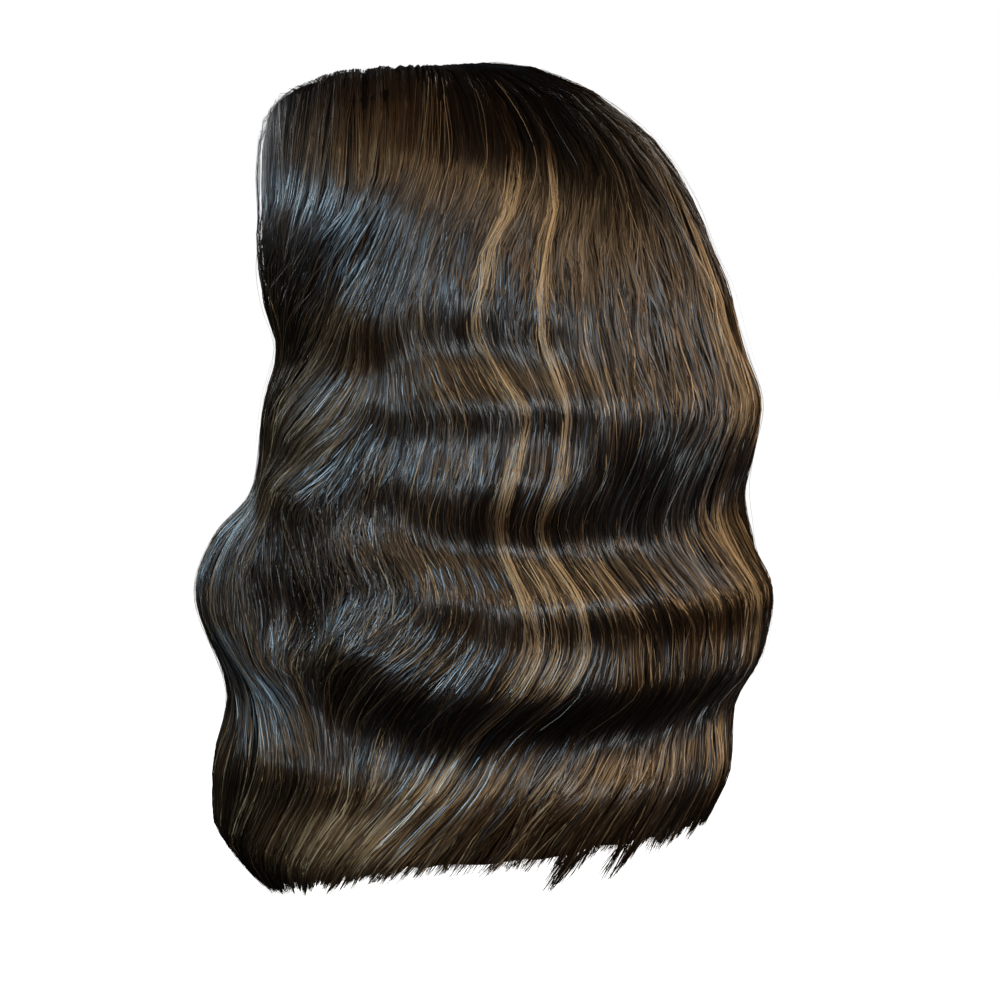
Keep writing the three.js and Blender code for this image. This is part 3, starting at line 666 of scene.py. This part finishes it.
# How much the strands' tone is darkened where the hair faces down and lightened where it faces up: painted
# shade and painted light.
painted_facing_shade = 0.42
uv_apart = 37.0
uv_columns = 97
swing_paces = np.array([0.5, 1.0, 1.7])
tuft_share = np.array([0.5, 0.528])
tuft_spread = np.array([0.007, 0.006])
tuft_longer = 0.06


def ribbons(path, normal, width, roll):
    """Two edges a ribbon: the path moved to both sides, across the strand and turned
    round it by roll. Gives points, faces and uv, u across and v along in mm."""
    along = np.gradient(path, axis=1)
    along /= np.linalg.norm(along, axis=2, keepdims=True) + tiny
    side = np.cross(normal, along)
    side /= np.linalg.norm(side, axis=2, keepdims=True) + tiny
    up = np.cross(along, side)
    reach = (side * np.cos(roll)[..., None] + up * np.sin(roll)[..., None]) * (width / 2)[..., None]
    points = np.stack([path - reach, path + reach], 2)
    count, rows = path.shape[:2]
    first = ((np.arange(count)[:, None] * rows + np.arange(rows - 1)[None, :]) * 2).ravel()
    quads = np.stack([first, first + 1, first + 3, first + 2], 1)
    number = np.arange(count)[:, None]
    step = np.linalg.norm(np.diff(path, axis=1), axis=2)
    run = np.concatenate([np.zeros((count, 1)), np.cumsum(step, axis=1)], 1) + number * uv_apart
    u = np.stack([np.zeros_like(run), np.ones_like(run)], 2) + (number % uv_columns)[..., None]
    uv = np.stack([u, np.repeat(run[..., None], 2, axis=2)], 3).reshape(-1, 2)
    return points.reshape(-1, 3), quads, uv


def swing(random, groups, member, level, size, turns):
    """Slow random swings that all strands of a group share: three sines of random
    pace and phase along the level, none at the root."""
    phase = random.uniform(0, 2 * np.pi, (groups, 3))
    pace = turns * random.uniform(0.7, 1.3, (groups, 3)) * swing_paces
    total = np.zeros(level.shape)
    for wave in range(3):
        angle = 2 * np.pi * level * pace[member, wave][:, None] + phase[member, wave][:, None]
        total += np.sin(angle) / (1 + wave)
    return total * size * smooth(level / 0.5)


def gathered(random, share, level, width, pull, spread, rise):
    """Pulls strands towards the middle of their clump as they go down, and lets each
    clump swing and rise as one. Gives shares, lifts and each strand's clump."""
    root = share[:, 0]
    clump = np.floor((root + random.normal(0, width * 0.15, len(root))) / width).astype(int)
    middle = (clump + 0.5) * width
    clump = clump - clump.min()
    groups = clump.max() + 1
    offset = share - middle[:, None]
    share = share - offset * pull * smooth((level - 0.6) / 1.2) * (1 - smooth((level - 1.6) / 0.4))
    share = share + swing(random, groups, clump, level, spread, 3.2)
    hollow = rise * np.minimum((offset / width) ** 2 * 3, 1.5) * smooth(level / 0.4)
    lift = swing(random, groups, clump, level, rise, 3.5) - hollow
    return share, lift, clump


def unruly(share, level):
    """Where the strands have come loose from each other: over the left of the back,
    below the first waves and above the tips."""
    return (smooth((share - 0.14) / 0.05) * (1 - smooth((share - 0.33) / 0.06))
            * smooth((level - 1.15) / 0.2) * (1 - smooth((level - 1.75) / 0.15)))


def combed(random, section, root, level, gold):
    """Strands combed over a section: the round backs of its locks, then clumps, then
    the wisps in them, then each strand's own swing. Gold strands lie on top, and the
    crown is combed flatter. Gives shares, levels and lifts."""
    share = np.repeat(root[:, None], level.shape[1], axis=1)
    share, clump_lift, clump = gathered(random, share, level, clump_width,
                                        pull=0.5, spread=0.0026, rise=0.6)
    share, wisp_lift, wisp = gathered(random, share, level, wisp_width,
                                      pull=0.6, spread=0.0016, rise=0.3)
    count = len(root)
    each = np.arange(count)
    loose = unruly(share, level)
    share = share + swing(random, wisp.max() + 1, wisp, level, loose_swing, 1.6) * loose
    share = share + swing(random, count, each, level, strand_swing, 3.4) * (1 + 2.5 * loose)
    share = np.clip(share, section["from"] - past_section, section["to"] + past_section)
    crown = lock_crown(np.clip(share, section["from"], section["to"]), section)
    own_lift = random.uniform(*strand_lift, count)[:, None] * (0.5 + 0.5 * smooth(level - 0.6))
    own_lift = own_lift + swing(random, count, each, level, lift_swing, 3.4) * (1 + loose)
    own_lift = own_lift + gold_lift * gold
    lift = (own_lift - 0.7 * lock_groove * (1 - crown)) * smooth(level / 0.3) + clump_lift + wisp_lift
    slip = random.normal(0, 0.008, wisp.max() + 1)[wisp][:, None] * smooth(level - 0.5)
    return share, level + (wave_slip(share, level) + slip), lift, clump


def golden(random, root, level):
    """How far each strand is gold along its length: some of those about the middle of
    a highlight are, from the level where it begins to the level where it ends."""
    away = (root[:, None] - gold_middle[None, :]) / gold_spread[None, :]
    near = np.abs(away).argmin(axis=1)
    chosen = random.random(len(root)) < gold_share[near] * np.exp(-np.abs(away).min(axis=1) ** 2)
    begun = smooth((level - gold_from[near][:, None]) / 0.5)
    return chosen[:, None] * begun * smooth((gold_to[near][:, None] - level) / 0.25)


def tones(random, root, level, clump, gold, slope):
    """Each strand's tone: dark brown, lighter by clump, lighter or darker by patch (partly the hair's own
    colour, partly painted shade and painted light), with a few light strands below the crown, and the gold
    ones; darker towards the roots as painted shade on the crown. slope is how far the hair faces up: the
    tone is darkened where it faces down, into a fold, and lightened where it faces up, as painted shade and
    painted light."""
    count = len(root)
    own = random.normal(0, tone_spread, count) + random.normal(0, clump_tone_spread, clump.max() + 1)[clump]
    own += np.where(random.random(count) < light_part, random.uniform(*lighter_by, count), 0)
    brown = brown_tone + own[:, None] * (0.35 + 0.65 * smooth((level - 0.4) / 0.8))
    # The patches lighten and darken the tone: partly the hair's own colour, partly painted shade and
    # painted light.
    for share, down, across, along, lighter in tone_and_painted_light_patches:
        brown += lighter * np.exp(-((root[:, None] - share) / across) ** 2 - ((level - down) / along) ** 2)
    tone = brown * (1 - gold) + random.normal(gold_tone, gold_tone_spread, count)[:, None] * gold
    # Darker towards the roots: painted shade on the crown.
    tone = tone * (0.8 + 0.2 * smooth((level - 0.1) / 0.4))
    # Darkened where the hair faces down into a fold, lightened where it faces up: painted shade and painted
    # light.
    tone = tone * (1 + painted_facing_shade * np.clip(slope * 3, -1, 0.6))
    return np.repeat(np.clip(tone, darkest_tone, 1.0)[..., None], 2, axis=2).ravel()


def strand_ends(random, root):
    """The level where each strand ends: near the tips, evenly within a clump, and
    longer in the two thin tufts that hang below the rest."""
    clump = (root / wisp_width).astype(int)
    end = tip_level + random.normal(0, tip_uneven, clump.max() + 1)[clump]
    end = end + random.uniform(*tip_uneven_within, len(root))
    away = (root[:, None] - tuft_share[None, :]) / tuft_spread[None, :]
    return end + tuft_longer * np.exp(-away ** 2).max(axis=1)


def joined(parts):
    """Several sets of points, faces, uv and tones as one set."""
    starts = np.cumsum([0] + [len(part[0]) for part in parts[:-1]])
    points, quads, uv, tone = zip(*parts)
    quads = [faces + start for faces, start in zip(quads, starts)]
    return [np.concatenate(values) for values in (points, quads, uv, tone)]


def strand_set(random, section, root, level, taper_in):
    """One set of combed ribbons of a section, with widths and rolls of their own and tones that carry
    painted shade and painted light; taper_in narrows those that come out from under the others."""
    count = len(root)
    gold = golden(random, root, level)
    share, level_on_form, lift, clump = combed(random, section, root, level, gold)
    path, normal = on_form(share, level_on_form, lift - short_depth * taper_in)
    slope = normal[..., 2] * smooth(level - 0.5) * (1 - 0.6 * smooth((level - 1.75) / 0.2))
    down = (level - level[:, :1]) / (level[:, -1:] - level[:, :1])
    width = random.uniform(*strand_width, count)[:, None] * (0.55 + 0.45 * smooth((level - 0.2) / 0.9))
    width = width * (1 - 0.6 * smooth((down - 0.975) / 0.025)) * (1 - 0.7 * taper_in) * (1 - 0.3 * gold)
    roll = random.normal(0, strand_roll, count)[:, None] * (0.5 + 0.5 * smooth((level - 0.5) / 0.6))
    roll = roll + swing(random, count, np.arange(count), level, 0.2, 2.0)
    points, quads, uv = ribbons(path, normal, width, roll)
    return points, quads, uv, tones(random, root, level, clump, gold, slope)


for section in sections:
    count = int(section["strands"] * full_length)
    root = strand_random.uniform(section["from"], section["to"], count)
    layered = strand_random.random(count) < layered_part
    end = np.where(layered, strand_random.uniform(*layered_end, count), strand_ends(strand_random, root))
    full = full_rows[None, :] * (end / 2)[:, None]
    parts = [strand_set(strand_random, section, root, full, np.zeros_like(full))]
    count = section["strands"] - count
    root = strand_random.uniform(section["from"], section["to"], count)
    start = strand_random.uniform(*short_start, count)
    end = strand_ends(strand_random, root)
    step = np.linspace(0, 1, short_rows)[None, :]
    short = start[:, None] + (end - start)[:, None] * step
    taper_in = np.repeat(1 - smooth(step / 0.12), count, axis=0)
    parts.append(strand_set(strand_random, section, root, short, taper_in))
    points, quads, uv, tone = joined(parts)
    new_piece(section["name"] + "_strands", points, quads, strand_hair, uv, tone)


# Inner curtain
# The lower rows of hair, sewn inside the cap's back and sides. They hang as one soft wall behind the outer
# locks, and show at the face and from below. The wall is coloured far darker than the hair as painted
# shade.
curtain_top_depth = 4.0
curtain_end = 0.93
curtain_from = 0.05
curtain_to = 0.95
curtain_columns = 120
curtain_rows = 40
curtain_comb = 0.5
curtain_combs = 46
curtain_top_wall = 1.5
curtain_wall_grows = 2.5
curtain_uv_length = 260
# The curtain's tone is painted shade: far darker than the hair's own brown, for the shade behind the outer
# locks.
curtain_painted_shade_tone = 0.15
curtain_hair = hair_material("under_hair", strands_per_unit=700.0, shine_roughness=0.5, shine=0.3,
                             line_depth=0.0006)


def curtain_faces(share, down):
    """Outer and inner points of the curtain, for down from 0 at its top to 1 at its
    end: it follows the strands' turns, thickens from its top and is combed in ridges."""
    tip = hair_top - hair_height * curve_through(guide_share, guide_tip, share) * curtain_end
    top = -cap_inner["z"] - curtain_top_depth
    z = top + (tip - top) * down
    turn = strand_turn(share, drop_at(z))
    outer = curtain_radius(turn, z)
    comb = curtain_comb * np.sin(share * 2 * np.pi * curtain_combs) * smooth((top - z) / 30.0)
    inner = outer - curtain_top_wall - curtain_wall_grows * smooth((top - z) / 55.0) - comb
    angle = np.radians(turn)
    return [np.stack([radius * np.sin(angle), radius * np.cos(angle), z], 1) for radius in (outer, inner)]


curtain_grid = np.meshgrid(np.linspace(curtain_from, curtain_to, curtain_columns),
                           np.linspace(0, 1, curtain_rows), indexing="ij")
curtain_points = np.concatenate(curtain_faces(curtain_grid[0].ravel(), curtain_grid[1].ravel()))
curtain_uv = np.stack([curtain_grid[0].ravel(), curtain_grid[1].ravel() * curtain_uv_length], 1)
curtain_mass = new_piece("inner_curtain", curtain_points, wall_quads(curtain_columns, curtain_rows),
                         curtain_hair, np.concatenate([curtain_uv, curtain_uv]),
                         np.full(len(curtain_points), curtain_painted_shade_tone))
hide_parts("under_layer")

curtain_strands = 1000
inside_rows = 30
inside_ends = (0.85, 1.02)
inside_swing_size = 0.003
inside_swing_turns = 3.0
inside_lifts = (0.1, 1.0)
inside_widths = (0.4, 0.8)
inside_taper_from = 0.8
inside_roll_spread = 0.5
inside_tone = 0.32
inside_tone_spread = 0.08
inside_random = np.random.default_rng(5)
inside_root = inside_random.uniform(curtain_from, curtain_to, curtain_strands)
inside_end = inside_random.uniform(*inside_ends, curtain_strands)
inside_down = np.linspace(0, 1, inside_rows)[None, :] * inside_end[:, None]
inside_swing = swing(inside_random, curtain_strands, np.arange(curtain_strands), inside_down,
                     inside_swing_size, inside_swing_turns)
inside_share = np.clip(inside_root[:, None] + inside_swing, curtain_from, curtain_to)
_, inside_path = curtain_faces(inside_share.ravel(), inside_down.ravel())
inside_path = inside_path.reshape(curtain_strands, inside_rows, 3)
inward = -inside_path * np.array([1, 1, 0])
inward /= np.linalg.norm(inward, axis=2, keepdims=True)
inside_lift = inside_random.uniform(*inside_lifts, curtain_strands)[:, None, None]
inside_path = inside_path + inward * inside_lift
inside_width = inside_random.uniform(*inside_widths, curtain_strands)[:, None]
inside_width = inside_width * (1 - 0.8 * smooth((inside_down - inside_taper_from) / 0.2))
inside_roll = inside_random.normal(0, inside_roll_spread, curtain_strands)[:, None]
inside_roll = inside_roll + np.zeros((1, inside_rows))
points, quads, uv = ribbons(inside_path, inward, inside_width, inside_roll)
tone = np.repeat(inside_random.normal(inside_tone, inside_tone_spread, curtain_strands), inside_rows * 2)
new_piece("curtain_strands", points, quads, strand_hair, uv, np.clip(tone, darkest_tone, 1))


# Stray hairs
# Fine single hairs that have worked loose from the set waves and stand a few
# millimetres off them.
stray_random = np.random.default_rng(23)
stray_count = 820
stray_rows = 24
more_on_left = 0.55
left_shares = (0.14, 0.36)
all_shares = (0.01, 0.99)
stray_starts = (0.3, 1.5)
stray_lengths = (0.25, 0.7)
stray_lowest = 2.02
stray_drifts = 0.018
stray_swing_size = 0.004
stray_swing_turns = 3.0
stray_off_form = 0.6
stray_mean_height = 0.9
stray_highest = 3.2
stray_widths = (0.16, 0.30)
stray_tone = 0.62
stray_tone_spread = 0.13
stray_on_left = stray_random.random(stray_count) < more_on_left
stray_root = np.where(stray_on_left, stray_random.uniform(*left_shares, stray_count),
                      stray_random.uniform(*all_shares, stray_count))
stray_start = stray_random.uniform(*stray_starts, stray_count)
stray_end = np.minimum(stray_start + stray_random.uniform(*stray_lengths, stray_count), stray_lowest)
stray_step = np.linspace(0, 1, stray_rows)[None, :]
stray_level = stray_start[:, None] + (stray_end - stray_start)[:, None] * stray_step
stray_drift = stray_random.normal(0, stray_drifts, stray_count)[:, None] * stray_step
stray_swing = swing(stray_random, stray_count, np.arange(stray_count), stray_level,
                    stray_swing_size, stray_swing_turns)
stray_share = stray_root[:, None] + stray_drift + stray_swing
stray_height = stray_random.exponential(stray_mean_height, stray_count)[:, None].clip(0, stray_highest)
stray_lift = stray_off_form + stray_height * smooth(stray_step / 0.5)
stray_path, stray_normal = on_form(np.clip(stray_share, 0, 1), stray_level, stray_lift)
stray_width = stray_random.uniform(*stray_widths, stray_count)[:, None] * (1 - 0.5 * stray_step)
stray_roll = stray_random.uniform(-1, 1, stray_count)[:, None] + np.zeros((1, stray_rows))
points, quads, uv = ribbons(stray_path, stray_normal, stray_width, stray_roll)
tone = np.repeat(stray_random.normal(stray_tone, stray_tone_spread, stray_count), stray_rows * 2)
new_piece("stray_hairs", points, quads, strand_hair, uv, np.clip(tone, 0.05, 1))


# Floor, light and background
# A plain pale floor under the hanging hair, cool soft lights from the picture's left
# round to its right, warm ones above and at the right, two more for the sides that
# the picture doesn't show, and a faint fill.
floor_height = -0.62
floor_size = 16.0
floor_grey = 0.85
floor_roughness = 0.9
floor_glow = 1.0
floor_mesh = bpy.data.meshes.new("floor")
half = floor_size / 2
floor_mesh.from_pydata([(-half, -half, floor_height), (half, -half, floor_height),
                        (half, half, floor_height), (-half, half, floor_height)], [], [(0, 1, 2, 3)])
floor = bpy.data.objects.new("floor", floor_mesh)
bpy.context.scene.collection.objects.link(floor)
floor_material = bpy.data.materials.new("floor")
floor_material.use_nodes = True
floor_shader = floor_material.node_tree.nodes["Principled BSDF"]
floor_shader.inputs["Base Color"].default_value = (floor_grey, floor_grey, floor_grey, 1)
floor_shader.inputs["Roughness"].default_value = floor_roughness
floor_shader.inputs["Emission Color"].default_value = (1, 1, 1, 1)
floor_shader.inputs["Emission Strength"].default_value = floor_glow
floor_mesh.materials.append(floor_material)
floor.visible_diffuse = False
floor.visible_glossy = False


light_distance = 2.0
fill_strength = 0.005
# Each light: its name, side, rise, size in metres, watts and colour.
lights = [
    ("cool_left", -75, 16, (0.6, 0.5), 21, (0.5, 0.77, 1.0)),
    ("cool_low", 0, 4, (0.6, 0.4), 8, (0.85, 0.94, 1.0)),
    ("warm_top", 0, 50, (0.6, 0.4), 4.5, (1.0, 0.64, 0.33)),
    ("warm_front", 0, 30, (0.6, 0.4), 5, (1.0, 0.64, 0.34)),
    ("cool_right", 38, 16, (0.6, 0.4), 5, (0.75, 0.9, 1.0)),
    ("warm_high_right", 38, 30, (0.6, 0.4), 4, (1.0, 0.65, 0.35)),
    ("warm_right", 75, 16, (0.6, 0.4), 9, (1.0, 0.6, 0.3)),
    ("far_side", 150, 22, (0.9, 0.7), 9, (1.0, 0.88, 0.74)),
    ("face_side", -140, 14, (0.9, 0.7), 7, (0.9, 0.95, 1.0)),
]


def soft_light(name, side, rise, size, watts, colour):
    """A light panel aimed at the hair. side is its turn in degrees from the camera
    towards the picture's right, and rise its height in degrees."""
    turn = view_turn + math.radians(side)
    lift = math.radians(rise)
    way = Vector((math.sin(turn) * math.cos(lift), -math.cos(turn) * math.cos(lift), math.sin(lift)))
    data = bpy.data.lights.new(name, "AREA")
    data.shape = "RECTANGLE"
    data.size = size[0]
    data.size_y = size[1]
    data.energy = watts
    data.color = colour
    lamp = bpy.data.objects.new(name, data)
    bpy.context.scene.collection.objects.link(lamp)
    lamp.location = view_aim + way * light_distance
    lamp.rotation_euler = way.to_track_quat("Z", "Y").to_euler()


for light in lights:
    soft_light(*light)

world = bpy.data.worlds.new("studio")
world.use_nodes = True
world_nodes = world.node_tree.nodes
world_links = world.node_tree.links
background = world_nodes["Background"]
background.inputs["Color"].default_value = (1, 1, 1, 1)
background.inputs["Strength"].default_value = fill_strength
behind = world_nodes.new("ShaderNodeBackground")
behind.inputs["Color"].default_value = (1, 1, 1, 1)
behind.inputs["Strength"].default_value = 1.0
seen = world_nodes.new("ShaderNodeLightPath")
either = world_nodes.new("ShaderNodeMixShader")
world_links.new(seen.outputs["Is Camera Ray"], either.inputs["Fac"])
world_links.new(background.outputs["Background"], either.inputs[1])
world_links.new(behind.outputs["Background"], either.inputs[2])
world_links.new(either.outputs["Shader"], world_nodes["World Output"].inputs["Surface"])
bpy.context.scene.world = world
